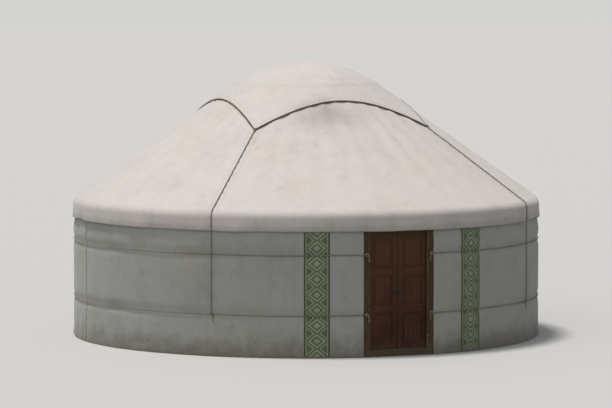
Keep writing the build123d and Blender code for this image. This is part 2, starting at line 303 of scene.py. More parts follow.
def finish_shader(shader, colour, roughness=None, height=None, strength=0.5, distance=0.001):
    """Leads a colour, a roughness and a bump's height into a material's shader."""
    links = colour.tree.links
    links.new(colour.socket, shader.inputs["Base Color"])
    if roughness:
        links.new(roughness.socket, shader.inputs["Roughness"])
    if height:
        inputs = {"Height": height, "Strength": strength, "Distance": distance}
        raised = place(colour.tree, "ShaderNodeBump", **inputs)
        links.new(raised.socket, shader.inputs["Normal"])


# Matted wool: cloudy patches, fine fibres and small pilled lumps.
enter = new_group("matted_wool", Vector="Vector", Pale="Color", Dull="Color", Aged="Color")
vector = enter["Vector"]
cloudy = vector.noise(2.3, 5.0, 0.6).ramp(0.42, 0.80)
blotchy = vector.noise(10.5, 3.0, 0.6).ramp(0.50, 0.80)
yellowed = vector.noise(1.25, 4.0, 0.65).ramp(0.44, 0.66)
lumps = vector.noise(46.0, 4.0, 0.65)
fibres = vector.noise(210.0, 3.0, 0.5, 1.4)
flecked = fibres.ramp(0.48, 0.76) * 0.22 + lumps.ramp(0.50, 0.78) * 0.30
dulled = cloudy * 0.42 + blotchy * 0.30 + flecked
tinted = (yellowed * 0.75).blend(enter["Pale"], enter["Aged"])
wool_group = lead_out(
    enter.tree,
    Color=dulled.blend(tinted, enter["Dull"]),
    Height=fibres * 0.35 + lumps,
    Roughness=lumps * 0.14 + 0.84,
)

# Soil and splashes: strong at a low edge, thinning upwards in an uneven line.
enter = new_group("splashed_soil", "Height", "Reach", Vector="Vector")
vector = enter["Vector"]
level = enter["Height"] / enter["Reach"] + 0.75
uneven = level - vector.noise(5.0, 6.0, 0.7) * 1.5
mottled = vector.noise(38.0, 3.0, 0.6) * 0.5 + 0.62
soil_group = lead_out(enter.tree, Mask=(1 - uneven.ramp(0.0, 1.0)) * mottled)

# Smoke has greyed the felt under the front of the crown felt, and painted shade under that edge
# darkens it further.
smoke_and_shade_centre = (-0.27, -1.27, 2.74)
smoke_and_shade_spread = (1.7, 2.6, 2.6)
smoke_and_shade_grey = (0.36, 0.325, 0.31, 1)
enter = new_group("smoke_and_painted_shade", Vector="Vector")
vector = enter["Vector"]
away = vector.vector_sum("SUBTRACT", smoke_and_shade_centre).vector_sum("MULTIPLY", smoke_and_shade_spread)
drift = vector.noise(3.1, 5.0, 0.65) * 1.1 + away.length()
smoke_and_shade_group = lead_out(enter.tree, Mask=1 - drift.ramp(0.45, 1.75))


def felt_material(name, wools, soil_reach, soil_share, soil_from, smoke_and_shade_share=0.0):
    """Pressed wool with soil that climbs from a height, partly painted shade at the wall's foot,
    rain streaks, and on the roof a grey patch of smoke and painted shade.
    """
    material, shader, vector = new_material(name, Sheen_Weight=0.35, Sheen_Roughness=0.6)
    pale, dull, aged = wools
    wool = vector.through(wool_group, Pale=pale, Dull=dull, Aged=aged)
    height = vector.parts()["Z"] - soil_from
    soil = vector.through(soil_group, Height=height, Reach=soil_reach)
    streaks = vector.drawn_out((7.0, 7.0, 0.55)).noise(1.0, 4.0, 0.6).ramp(0.52, 0.82)
    colour = (streaks * 0.16 + soil * soil_share).blend(wool["Color"], wool_soil_and_shade)
    if smoke_and_shade_share:
        # A grey patch of smoke and painted shade under the front edge of the crown felt.
        colour = (vector.through(smoke_and_shade_group) * smoke_and_shade_share).blend(colour, smoke_and_shade_grey)
    raised = {"height": wool["Height"], "strength": 0.75, "distance": 0.006}
    finish_shader(shader, colour, wool["Roughness"], **raised)
    return material


# The wall felts' colours carry painted shade as well as their own grey.
shaded_wall_wools = (wall_wool_pale_shaded, wall_wool_dull_shaded, wall_wool_aged_shaded)
# The wall's soil is strong and climbs high: dirt at the foot, and painted shade where the wall meets
# the ground.
soil = {"soil_reach": 0.30, "soil_share": 1.0, "soil_from": 0.0}
shaded_wall_material = felt_material("wall_felt", shaded_wall_wools, **soil)
door_gap_angle = asin((door_half_width + seam_gap) / (wall_radius - felt_thickness))
for index, side in enumerate(("right", "back_right", "back_left", "left")):
    start_angle = index * quarter + seam_gap if index else door_gap_angle
    stop_angle = (index + 1) * quarter - seam_gap if index < 3 else 2 * pi - door_gap_angle
    spread = stop_angle - start_angle
    size = (spread * wall_radius, wall_top)
    felt = cloth(
        f"hanging_felt_{side}",
        f"wall_felt_{side}",
        shaded_wall_material,
        lambda across, up: wall_point(start_angle + spread * across, wall_top * up),
        size,
        felt_thickness,
    )
    section = index * 3 // 2 + 1
    behind = [f"lattice_section_{section}", f"lattice_section_{section + 1}"]


# Roof felts
# Four felts of the same wool lie over the poles and hang past the eave as a
# skirt. They sag a little from pole to pole, and they are tacked along their
# edges with long running stitches.

roof_slope = radians(35)
roof_thickness = 0.018
cover_thickness = 0.012
layer_gap = 0.0003
dome_start = 0.88
eave_bend_radius = 0.108
roof_sag = 0.015
skirt_wave = 0.016
hem_droop = 0.012
wrinkle_depth = 0.0022
rope_pinch = 0.075
crown_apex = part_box("crown_cover")[1].z
skirt_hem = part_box("roof_felt_front")[0].z
roof_white = (0.875, 0.797, 0.768, 1)
roof_shadow = (0.68, 0.615, 0.585, 1)
roof_aged = (0.86, 0.795, 0.685, 1)

# The poles stand over the middles of the lattice's heads, and one more on each
# side of the door's middle stands on the lintel. The first angle is the last one
# again, so that the circle closes.
lattice_heads = 42
lattice_inner_radius = 2.736
head_start = asin((door_half_width + layer_gap) / lattice_inner_radius)
head_pitch = (2 * pi - 2 * head_start) / lattice_heads
pole_angles = [head_start + head_pitch * (i + 0.5) for i in range(lattice_heads)]
lintel_angle = (head_start + head_pitch / 2) / 3
pole_angles = [-lintel_angle, lintel_angle] + pole_angles + [2 * pi - lintel_angle]

dome_radius = dome_start / sin(roof_slope)
dome_centre = crown_apex - dome_radius
skirt_radius = wall_radius + layer_gap + roof_thickness
cover_drop = (cover_thickness + layer_gap) / cos(roof_slope)


def slope_line(radius):
    """Height of the top of the crown felt where it runs straight down the slope."""
    foot = dome_centre + dome_radius * cos(roof_slope)
    return foot - (radius - dome_start) * tan(roof_slope)


bend_centre = skirt_radius - eave_bend_radius
bend_height = slope_line(bend_centre) - cover_drop - eave_bend_radius / cos(roof_slope)
bend_length = eave_bend_radius * (quarter - roof_slope)
skirt_length = bend_height - skirt_hem
slope_foot = bend_centre + eave_bend_radius * sin(roof_slope)
slope_foot_height = bend_height + eave_bend_radius * cos(roof_slope)
slope_length = (slope_foot - dome_start - layer_gap) / cos(roof_slope)
slope_from = skirt_length + bend_length
roof_length = slope_from + slope_length


def roof_profile(run):
    """Radius, height and the tilt of the surface at a distance up from the hem."""
    if run < skirt_length:
        return skirt_radius, skirt_hem + run, 0.0
    if run < slope_from:
        turn = (run - skirt_length) / eave_bend_radius
        out = bend_centre + eave_bend_radius * cos(turn)
        return out, bend_height + eave_bend_radius * sin(turn), turn
    run -= slope_from
    out = slope_foot - run * cos(roof_slope)
    return out, slope_foot_height + run * sin(roof_slope), quarter - roof_slope


def between_poles(angle):
    """0 over a pole and 1 half way to the next."""
    angle %= 2 * pi
    before = max(pole for pole in pole_angles if pole <= angle)
    after = min((pole for pole in pole_angles if pole > angle), default=before + head_pitch)
    return sin(pi * (angle - before) / (after - before)) ** 2


def pressed_by_rope(angle):
    """1 under a rope from a corner of the crown felt, falling to 0 beside it."""
    off_rope = (angle % quarter - quarter / 2) * skirt_radius
    return exp(-((off_rope / rope_pinch) ** 2))


def roof_sink(angle, run):
    """How far the felt stands off its even line, outwards or inwards."""
    around = round_axis(angle, 6.0)
    up_slope = (run - slope_from) / slope_length
    sag = 0.0
    if 0 < up_slope < 1:
        taut = 0.75 + 0.5 * noise.noise(around + Vector((4, 1, up_slope * 2.5)))
        sag = -roof_sag * between_poles(angle) * taut * sin(pi * up_slope) ** 0.6
    loose = max(0.0, 1 - run / skirt_length) ** 1.3
    wave = 0.45 + noise.noise(around * 1.5 + Vector((0, 5, 0)))
    wave += 0.4 * noise.noise(around * 4.1)
    wrinkle = wrinkle_depth * (1 + noise.noise(around * 3.3 + Vector((0, 0, run * 5.5))))
    return sag + skirt_wave * max(wave, 0.0) * loose * (1 - pressed_by_rope(angle)) + wrinkle


def roof_point(angle, run, lift=0.0):
    """A point on the outside of the roof felts."""
    radius, height, tilt = roof_profile(run)
    off = roof_sink(angle, run) + lift
    around = round_axis(angle, 1.0)
    droop = hem_droop * (noise.noise(around * 2.7) + 0.5 * noise.noise(around * 8.3))
    height -= droop * max(0.0, 1 - run / skirt_length)
    return at(radius + off * cos(tilt), angle, height + off * sin(tilt))


roof_wools = (roof_white, roof_shadow, roof_aged)
# How strongly smoke and painted shade grey the roof and crown felts.
roof_smoke_and_shade = 0.6
soil = {"soil_reach": 0.12, "soil_share": 0.35, "soil_from": skirt_hem}
roof_material = felt_material("roof_felt", roof_wools, smoke_and_shade_share=roof_smoke_and_shade, **soil)
roof_sides = ("front", "right", "back", "left")
pole_sides = ("left", "right", "back_right", "back_left")
spread = quarter - seam_gap
for index, side in enumerate(roof_sides):
    start_angle = (index - 0.5) * quarter + seam_gap / 2
    size = (spread * skirt_radius, roof_length)
    felt = cloth(
        f"pitched_felt_{side}",
        f"roof_felt_{side}",
        roof_material,
        lambda across, up: roof_point(start_angle + spread * across, roof_length * up),
        size,
        roof_thickness,
    )
    pitched_area = spread / 2 * (slope_foot**2 - dome_start**2) / cos(roof_slope)
    pitched_area + size[0] * slope_from
    [f"roof_poles_{pole_sides[(index + step) % 4]}" for step in (0, 1)]


# Crown felt
# A square felt lies over the crown with its corners tied down. A dark cord of
# goat's hair is sewn round its edge; its darkness also stands in for painted
# shade under the felt's edge. The rim and the crossed bars of the crown show
# through it as low ridges.

cover_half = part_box("crown_cover")[1].x
cover_cell = 0.020
rim_line = 0.83
rim_ridge = 0.009
rim_spread = 0.035
bar_apart = 0.12
bar_ridge = 0.008
bar_spread = 0.034
broad_wrinkle = 0.005
fine_wrinkle = 0.0025
pleat_depth = 0.004
# Dark hair of the binding, dark also as painted shade along the felt's edge.
edge_shade_hair = (0.115, 0.090, 0.072, 1)
edge_shade_hair_worn = (0.215, 0.170, 0.135, 1)
binding_radius = 0.010
edge_steps = 60


def cover_point(x, y, lift=0.0):
    """A point on the outside of the crown felt."""
    radius = hypot(x, y)
    height = slope_line(radius)
    ridge = rim_ridge * exp(-(((radius - rim_line) / rim_spread) ** 2))
    if radius < rim_line:
        off_bar = min(abs(abs(along) - bar) for along in (x, y) for bar in (0, bar_apart))
        ridge += bar_ridge * exp(-((off_bar / bar_spread) ** 2)) * (1 - radius / rim_line * 0.4)
    flat_place = Vector((x, y, 0))
    wrinkle = broad_wrinkle * noise.noise(flat_place * 2.4)
    wrinkle += fine_wrinkle * noise.noise(flat_place * 7.0)
    if radius < dome_start:
        height = dome_centre + sqrt(dome_radius**2 - radius**2)
    else:
        wrinkle = abs(wrinkle) * 0.8
        along, across = (x - y, x + y) if x * y < 0 else (x + y, x - y)
        pleat = abs(noise.noise(Vector((across * 9, along * 0.8, 2))))
        wrinkle += pleat_depth * smooth(radius, 1.0, 1.5) * pleat
    return Vector((x, y, height + ridge + wrinkle + lift))


cover_wide = 2 * cover_half
soil = {"soil_reach": 0.05, "soil_share": 0.2, "soil_from": 2.45}
cover_material = felt_material("cover_felt", roof_wools, smoke_and_shade_share=roof_smoke_and_shade, **soil)
cover = cloth(
    "crown_felt",
    "crown_cover",
    cover_material,
    lambda across, up: cover_point(cover_half * (2 * across - 1), cover_half * (2 * up - 1)),
    (cover_wide, cover_wide),
    cover_thickness,
    cover_cell,
)


def new_wire(name, *lines, closed=False):
    """Lines of edges, for a node tree to follow."""
    points = []
    edges = []
    for line in lines:
        first = len(points)
        points += line
        edges += [(step, step + 1) for step in range(first, len(points) - 1)]
        if closed:
            edges.append((len(points) - 1, first))
    return new_piece(name, points, edges)


def made_by(tree, source, **values):
    """The plain mesh that a tree makes from a source, in the source's place."""
    modifier = source.modifiers.new("maker", "NODES")
    modifier.node_group = tree
    for socket in tree.interface.items_tree:
        if socket.in_out == "INPUT" and socket.name in values:
            modifier[socket.identifier] = values[socket.name]
    evaluated = source.evaluated_get(bpy.context.evaluated_depsgraph_get())
    mesh = bpy.data.meshes.new_from_object(evaluated)
    name = source.name
    bpy.data.objects.remove(source)
    mesh.shade_smooth()
    return new_object(name, mesh)


def new_tree(name, *numbers, **others):
    """The tree of geometry nodes to fill, and what enters it."""
    kinds = {"Geometry": "Geometry", "Material": "Material", **others}
    enter = new_group(name, *numbers, tree_kind="GeometryNodeTree", **kinds)
    return enter.tree, enter


def finish_tree(enter, geometry):
    """Every tree ends in plain geometry with its material set."""
    real = place(enter.tree, "GeometryNodeRealizeInstances", geometry)
    dressed = place(
        enter.tree, "GeometryNodeSetMaterial", Geometry=real, Material=enter["Material"]
    )
    return lead_out(enter.tree, Geometry=dressed)


# Laid rope: three round strands twisted along a path.
tree, enter = new_tree("laid_rope", "Radius", "Lay", "Step", Sides="Int")
line = place(tree, "GeometryNodeMeshToCurve", enter["Geometry"])
step = enter["Step"]
even = place(tree, "GeometryNodeResampleCurve", Curve=line, Length=step, mode="LENGTH")
travelled = place(tree, "GeometryNodeSplineParameter")["Length"]
tilt = travelled / enter["Lay"] * (2 * pi)
twisted = place(tree, "GeometryNodeSetCurveTilt", Curve=even, Tilt=tilt)
wide = enter["Radius"] * 0.52
sides = enter["Sides"]
middles = place(tree, "GeometryNodeMeshCircle", Vertices=3, Radius=wide)
strand = place(tree, "GeometryNodeCurvePrimitiveCircle", Resolution=sides, Radius=wide)
strands = place(tree, "GeometryNodeInstanceOnPoints", Points=middles, Instance=strand)
strands = place(tree, "GeometryNodeRealizeInstances", strands)
inputs = {"Curve": twisted, "Profile_Curve": strands, "Fill_Caps": True}
rope_tree = finish_tree(enter, place(tree, "GeometryNodeCurveToMesh", **inputs))


def hair_rope_material(name, pale, dark):
    """Twisted hair, wool or hide: fine fibres in two tones."""
    material, shader, vector = new_material(name, Roughness=0.9, Sheen_Weight=0.25)
    hairs = vector.noise(260.0, 3.0, 0.7)
    tone = vector.noise(6.0, 3.0, 0.6)
    colour = (hairs * 0.9 + tone * 0.6 - 0.35).blend(pale, dark)
    finish_shader(shader, colour, height=hairs, strength=0.6, distance=0.002)
    return material


def square_sides(half, count, lift=0.0):
    """Lines along the four sides of a square on the crown felt."""
    sides = []
    for turn in range(4):
        side = []
        for step in range(count):
            along = half * (2 * step / edge_steps - 1)
            x, y = ((along, -half), (half, along), (-along, half), (-half, -along))[turn]
            side.append(cover_point(x, y, lift))
        sides.append(side)
    return sides


edge_line = sum(square_sides(cover_half, edge_steps, -cover_thickness * 0.35), [])
binding = made_by(
    rope_tree,
    new_wire("crown_felt_binding", edge_line, closed=True),
    Radius=binding_radius,
    Lay=0.075,
    Step=0.010,
    Sides=6,
    Material=hair_rope_material("dark_binding_and_edge_shade", edge_shade_hair_worn, edge_shade_hair),
)
settle(binding)


# Ropes
# Two girth ropes of pale hair hold the wall felts in, and are wound on the pegs
# of the door posts. A rope from each corner of the crown felt runs down the roof
# and the skirt, over the girth ropes, and is hitched to the lower one.

rope_radius = 0.0062
girth_lift = 0.0105
girth_radius = wall_radius + girth_lift
girth_steps = 220
girth_slack = 0.005
peg_radius = 0.008
peg_length = 0.030
peg_inset = 0.030
peg_across = door_half_width - peg_inset
hitch_steps = 14
hitch_from_post = 0.008
wound_pitch = 1.9 * rope_radius
hitch_pitch = 1.8 * rope_radius
eye_inset = 0.004
eye_lift = 0.002
eye_flat = 0.8
eye_long = 1.1
peg_turns = 2.25
eye_turns = 2
girth_turns = 1.5
rope_tail = 0.085
tail_sway = 0.006
tail_lean = 0.004
tail_swing = 0.014
slope_steps = 46
slope_lift = 0.0015
drop_steps = 12
drop_sway = 0.004
drop_gap = 0.002
below_corner = 0.035
above_girth = 0.03
rope_pale = (0.50, 0.43, 0.33, 1)
rope_dark = (0.25, 0.19, 0.13, 1)
rope_make = {
    "Radius": rope_radius,
    "Lay": 0.050,
    "Step": 0.007,
    "Sides": 5,
    "Material": hair_rope_material("laid_rope", rope_pale, rope_dark),
}


def winding(turns, middle, first, second, pitch, start=0.0):
    """Points wound round a middle, from one arm to the other, a pitch further each turn."""
    points = []
    for step in range(int(turns * hitch_steps) + 1):
        turn = step / hitch_steps
        angle = start + 2 * pi * turn
        points.append(middle + first * cos(angle) + second * sin(angle) + pitch * turn)
    return points


def peg_hitch(side, height):
    """The winding of a rope on a peg, from the wall's side to the hanging tail."""
    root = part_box("door_jamb_right")[0].y + peg_length
    middle = Vector((side * peg_across, root - hitch_from_post, height))
    across = Vector((side * (peg_radius + rope_radius), 0, 0))
    upwards = Vector((0, 0, peg_radius + rope_radius))
    pitch = Vector((0, -wound_pitch, 0))
    points = winding(peg_turns, middle, across, upwards, pitch, quarter)
    end = points[-1]
    for drop in (0.3, 0.65, 1.0):
        sway = tail_sway * sin(5 * drop + side) - side * tail_lean
        points.append(end + Vector((sway, -tail_lean * drop, -rope_tail * drop)))
    return points


from_peg = asin(door_half_width / girth_radius)
for name, height in zip(("lower", "upper"), rope_heights):
    around = []
    for step in range(girth_steps + 1):
        angle = from_peg + (2 * pi - 2 * from_peg) * step / girth_steps
        slack = girth_slack * noise.noise(round_axis(angle, 4) + Vector((0, 0, height * 3)))
        around.append(at(girth_radius, angle, height + slack))
    route = peg_hitch(1, height)[::-1] + around + peg_hitch(-1, height)
    girth = made_by(rope_tree, new_wire(f"girth_rope_{name}_laid", route), **rope_make)
    settle(girth, node=f"girth_rope_{name}")

corner_radius = sqrt(2) * cover_half
hang_radius = skirt_radius + rope_radius + drop_gap
top_run = roof_length - (corner_radius + below_corner - dome_start - layer_gap) / cos(roof_slope)
eye = binding_radius + rope_radius

# Each crown rope starts as an eye round the binding, and ends in a hitch and a tail.
for index, name in enumerate(("front_right", "back_right", "back_left", "front_left")):
    angle = (index + 0.5) * quarter
    upwards = Vector((0, 0, 1))
    outward = at(1, angle, 0)
    across = at(1, angle + quarter, 0)
    down = outward * cos(roof_slope) - upwards * sin(roof_slope)
    off = outward * sin(roof_slope) + upwards * cos(roof_slope)
    corner = at(corner_radius - eye_inset, angle, slope_line(corner_radius) + eye_lift)
    pitch = across * wound_pitch
    arms = (off * eye * eye_flat, down * eye * eye_long)
    route = winding(eye_turns, corner - pitch, *arms, pitch)
    for step in range(slope_steps + 1):
        run = top_run * (1 - step / slope_steps)
        route.append(roof_point(angle, run, rope_radius + slope_lift))
    for step in range(1, drop_steps):
        height = skirt_hem + (rope_heights[0] + above_girth - skirt_hem) * step / drop_steps
        sway = drop_sway * noise.noise(Vector((index * 3.0, height * 2.5, 1)))
        route.append(at(hang_radius, angle, height) + across * sway)
    middle = at(girth_radius, angle, rope_heights[0])
    wide = 2 * rope_radius
    pitch = across * hitch_pitch
    route += winding(girth_turns, middle, outward * wide, upwards * -wide, pitch)
    end = route[-1]
    for drop in (0.25, 0.6, 1.0):
        swing = outward * tail_swing * smooth(drop, 0, 0.5)
        route.append(end + swing - upwards * rope_tail * drop)
    rope = made_by(rope_tree, new_wire(f"crown_rope_{name}_laid", route), **rope_make)
    settle(rope, node=f"crown_rope_{name}")


# Seams and hems
# A cord of plain wool is rolled into the hem of the skirt, the felts' edges are
# laced together with slanting stitches, and running stitches follow every hem.

lacing = {"Spacing": 0.055, "Length": 0.075, "Thickness": 0.0032, "Slant": radians(32)}
running = {"Spacing": 0.052, "Length": 0.030, "Thickness": 0.0019}
seam_steps = 60
hem_steps = 720
hem_inset = 0.045
side_inset = 0.055
stitch_from_door = 0.02
seam_foot = 0.05
seam_under_skirt = 0.03
seam_share = 0.74
hem_cord_radius = 0.0085
hem_cord_place = (0.002, -0.006)
hem_pale = (0.62, 0.59, 0.54, 1)
hem_dark = (0.38, 0.35, 0.31, 1)
thread_pale = (0.36, 0.31, 0.25, 1)
thread_dark = (0.20, 0.16, 0.125, 1)

# Stitches along a line: each lies on the felt, turned a little from the line,
# to one side and the other in turn where they are slanted.
tree, enter = new_tree("stitches", "Spacing", "Length", "Thickness", "Slant", "Rise")
line = place(tree, "GeometryNodeMeshToCurve", enter["Geometry"])
step = enter["Spacing"]
spaced = place(tree, "GeometryNodeCurveToPoints", Curve=line, Length=step, mode="LENGTH")
parts = place(tree, "GeometryNodeInputPosition").parts()
level = joined_parts(tree, X=parts["X"], Y=parts["Y"]).vector_sum("NORMALIZE")
outward = level.vector_sum("ADD", joined_parts(tree, Z=enter["Rise"]))
align = "FunctionNodeAlignRotationToVector"
lengthwise = place(tree, align, Vector=spaced["Tangent"], axis="X")
upright = place(tree, align, Rotation=lengthwise, Vector=outward, axis="Z", pivot_axis="X")
turned_way = place(tree, "GeometryNodeInputIndex") % 2.0 * 2.0 - 1.0
turned = turned_way * enter["Slant"]
slant = place(tree, "FunctionNodeAxisAngleToRotation", Axis=(0, 0, 1), Angle=turned)
slanted = place(tree, "FunctionNodeRotateRotation", upright, slant, rotation_space="LOCAL")
bead = place(tree, "GeometryNodeMeshUVSphere", Segments=6, Rings=5, Radius=1.0)
thick = enter["Thickness"]
bead_size = joined_parts(tree, X=enter["Length"] * 0.5, Y=thick, Z=thick)
inputs = {"Points": spaced, "Instance": bead, "Rotation": slanted, "Scale": bead_size}
stitch_tree = finish_tree(enter, place(tree, "GeometryNodeInstanceOnPoints", **inputs))
thread_material = hair_rope_material("sewing_thread", thread_pale, thread_dark)
hem_material = hair_rope_material("hem_cord", hem_pale, hem_dark)


def sew(name, stitch, lines, rise=0.0):
    """Stitches along several lines, as one piece. The rise tilts them back with a slope."""
    wire = new_wire(name, *lines)
    sewn = made_by(stitch_tree, wire, **stitch, Rise=rise, Material=thread_material)
    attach(sewn, "house")


slope_rise = cos(roof_slope) / sin(roof_slope)
seam_shares = [step / seam_steps for step in range(seam_steps + 1)]
seam_long = skirt_hem - seam_under_skirt - seam_foot
wall_seams = [
    [wall_point(index * quarter, seam_foot + seam_long * share) for share in seam_shares]
    for index in (1, 2, 3)
]
sew("wall_seam_lacing", lacing, wall_seams)
seam_angles = [(index + 0.5) * quarter for index in range(4)]
seam_runs = [slope_from + slope_length * seam_share * share for share in seam_shares]
slope_seams = [[roof_point(angle, run) for run in seam_runs] for angle in seam_angles]
sew("roof_seam_lacing", lacing, slope_seams, slope_rise)
hem_angles = [2 * pi * step / hem_steps for step in range(hem_steps)]
skirt_line = [roof_point(angle, hem_inset) for angle in hem_angles + hem_angles[:1]]
sew("skirt_hem_stitches", running, [skirt_line])
felt_start = asin((door_half_width + stitch_from_door) / wall_radius)
felt_turn = (2 * pi - 2 * felt_start) / hem_steps
wall_line = [wall_point(felt_start + felt_turn * step, hem_inset) for step in range(hem_steps)]
sew("wall_hem_stitches", running, [wall_line])
edge_lines = [
    [roof_point(angle + side * side_inset / roof_profile(run)[0], run) for run in seam_runs]
    for angle in seam_angles
    for side in (-1, 1)
]
sew("roof_edge_stitches", running, edge_lines, slope_rise)
inset_lines = square_sides(cover_half - hem_inset, edge_steps + 1)
sew("crown_felt_stitches", running, inset_lines, slope_rise)
hem_line = [roof_point(angle, *hem_cord_place) for angle in hem_angles]
hem_cord = made_by(
    rope_tree,
    new_wire("skirt_hem_cord", hem_line, closed=True),
    Radius=hem_cord_radius,
    Lay=0.09,
    Step=0.015,
    Sides=5,
    Material=hem_material,
)
settle(hem_cord)


# Woven bands beside the door
# A flat band of dyed wool hangs down the wall on each side of the door, woven
# with stepped lozenges in sage green and undyed cream, with a thin brick line.

band_angle = radians(20)
band_wide = 0.290
band_thickness = 0.002
band_lift = 0.004
band_cell = 0.018
yarn_width = 0.0032
lozenge_pitch = 0.175
lozenge_steps = 11.0
sage = (0.140, 0.222, 0.100, 1)
deep_sage = (0.060, 0.100, 0.048, 1)
cream = (0.46, 0.465, 0.355, 1)
brick = (0.185, 0.085, 0.060, 1)

# Plain weave: raised yarns that pass over and under, a little uneven in tone.
enter = new_group("woven_yarn", "Yarn", Vector="Vector", Color="Color")
vector = enter["Vector"]
parts = vector.parts()
over = (parts["X"] / enter["Yarn"] * pi).sum("SINE")
under = (parts["Y"] / enter["Yarn"] * pi).sum("SINE")
crossed = over * under * 0.5 + 0.5
fuzz = vector.noise(420.0, 2.0, 0.6)
shade = vector.noise(9.0, 4.0, 0.65) * 0.55 + crossed * 0.22 + fuzz * 0.25 + 0.45
dyed = enter["Color"].scaled(shade)
yarn_group = lead_out(enter.tree, Color=dyed, Height=fuzz * 0.4 + crossed)


def stepped(value):
    """A value taken down to whole steps, as yarns make it."""
    return (value * lozenge_steps).sum("FLOOR") / lozenge_steps


def weave_lozenges(shader, across, along, wide, pitch, colours):
    """Stepped lozenges down the middle of a band, with a plain stripe by each edge."""
    ground, figure, selvage, line = colours
    from_middle = abs(across / wide * 2.0 - 1.0)
    up = along.sum("PINGPONG", pitch / 2) / (pitch / 2)
    spread = stepped(from_middle * 1.35) + stepped(up)
    core = spread < 0.34
    ring = spread.between(0.58, 0.86)
    corners = spread.between(1.10, 1.30)
    inside_stripes = from_middle < 0.76
    stripe = from_middle.between(0.80, 0.87)
    thin_line = from_middle.between(0.885, 0.93)
    colour = (core.larger(ring).larger(corners) * inside_stripes).blend(ground, figure)
    colour = (from_middle > 0.93).blend(stripe.blend(colour, figure), selvage)
    colour = thin_line.blend(colour, line)
    vector = joined_parts(across.tree, X=across, Y=along)
    yarn = vector.through(yarn_group, Yarn=yarn_width, Color=colour)
    finish_shader(shader, yarn, height=yarn["Height"], distance=0.0015)


band_material, shader, vector = new_material("side_band", Roughness=0.92, Sheen_Weight=0.3)
cut_parts = place(vector.tree, "ShaderNodeUVMap", uv_map="cut").parts()
band_colours = (sage, cream, deep_sage, brick)
weave_lozenges(shader, cut_parts["X"], cut_parts["Y"], band_wide, lozenge_pitch, band_colours)
band_foot, band_top = (corner.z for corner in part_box("door_band_right"))
size = (band_wide, band_top - band_foot)
half_turn = band_wide / 2 / wall_radius
for name, side in door_sides:
    band = cloth(
        f"woven_band_{name}",
        f"door_band_{name}",
        band_material,
        lambda across, up: wall_point(
            side * band_angle + half_turn * (2 * across - 1), band_foot + size[1] * up, band_lift
        ),
        size,
        band_thickness,
        band_cell,
    )


# Door frame
# Two posts, a lintel and a sill of planed pine, pegged together and painted a
# dark brown that has worn thin at the corners and on the sill.

frame_edge = 0.004
weld_distance = 0.00001
upright_grain = (42.0, 42.0, 2.6)
level_grain = (2.6, 42.0, 42.0)
edge_reach = 0.009
edge_rub = 0.36
step_rub = 0.42
step_width = 0.30
post_wear = 0.06
beam_wear = 0.08
frame_soil_reach = 0.22
leaf_gap = 0.005
frame_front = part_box("door_lintel")[0].y
frame_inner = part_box("door_leaf_right")[1].x + leaf_gap
sill_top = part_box("door_threshold")[1].z
frame_paint = (0.080, 0.046, 0.022, 1)
frame_paint_faded = (0.125, 0.078, 0.046, 1)
bare_pine = (0.235, 0.158, 0.095, 1)
dark_pine = (0.14, 0.085, 0.048, 1)
door_soil = (0.20, 0.165, 0.125, 1)

# Grain: growth rings drawn out along the piece, and fine pores. The vector is
# already stretched along the grain.
enter = new_group("wood_grain", Vector="Vector", Early="Color", Late="Color")
vector = enter["Vector"]
rings = (vector.noise(0.35, 5.0) * 46.0).sum("SINE") * 0.5 + 0.5
pores = vector.noise(3.4, 4.0, 0.7)
drawn = rings * 0.55 + pores * 0.6 - 0.12
grain_group = lead_out(
    enter.tree,
    Color=drawn.blend(enter["Early"], enter["Late"]),
    Height=pores - rings * 0.35,
    Figure=drawn,
)

# Old paint: faded in clouds, thinner along the grain, gone in worn patches.
colours = {"Fresh": "Color", "Faded": "Color", "Wood": "Color"}
enter = new_group("old_paint", "Grain", "Wear", Vector="Vector", **colours)
vector, grain = enter["Vector"], enter["Grain"]
clouds = vector.noise(3.2, 4.0, 0.6)
painted = (grain * 0.35 + clouds).ramp(0.45, 0.95).blend(enter["Fresh"], enter["Faded"])
chips = vector.noise(23.0, 5.0, 0.7)
gone = (chips * 0.75 + grain * 0.22 + enter["Wear"]).ramp(0.84, 0.90)
paint_group = lead_out(
    enter.tree,
    Color=gone.blend(painted, enter["Wood"]),
    Height=grain * -0.35 - gone * 0.8,
    Roughness=gone * 0.30 + clouds * 0.18 + 0.40,
)

# Rubbed edges: paint goes first where a hand, a foot or a shoulder passes.
enter = new_group("rubbed_edge", "Distance", "Reach", "Strength", Vector="Vector")
near = enter["Vector"].noise(30.0, 4.0, 0.65) * 1.6 + enter["Distance"] / enter["Reach"]
rub_group = lead_out(enter.tree, Wear=(1 - near.ramp(0.6, 1.7)) * enter["Strength"])


def painted_wood(shader, vector, along_grain, paints, wear, soil_reach, soil_share=0.45):
    """Old paint over grained wood, with soil at the foot."""
    fresh, faded, wood = paints
    grain = along_grain.through(grain_group, Early=wood, Late=dark_pine)
    paint = vector.through(
        paint_group,
        Fresh=fresh,
        Faded=faded,
        Wood=grain["Color"],
        Grain=grain["Figure"],
        Wear=wear,
    )
    height = vector.parts()["Z"]
    soil = vector.through(soil_group, Height=height, Reach=soil_reach) * soil_share
    relief = paint["Height"] + grain["Height"] * 0.4
    colour = soil.blend(paint["Color"], door_soil)
    finish_shader(shader, colour, paint["Roughness"], relief, distance=0.0012)


def dress(node, material, edge=0.0):
    """Gives a CAD node its material, and eases its sharp edges where a width is given."""
    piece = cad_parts[node]
    if piece.material_slots:
        piece.material_slots[0].material = material
    else:
        piece.data.materials.append(material)
    if edge:
        weld = piece.modifiers.new("weld", "WELD")
        weld.merge_threshold = weld_distance
        eased = piece.modifiers.new("eased edges", "BEVEL")
        eased.width = edge
        eased.segments = 2
        eased.angle_limit = radians(35)


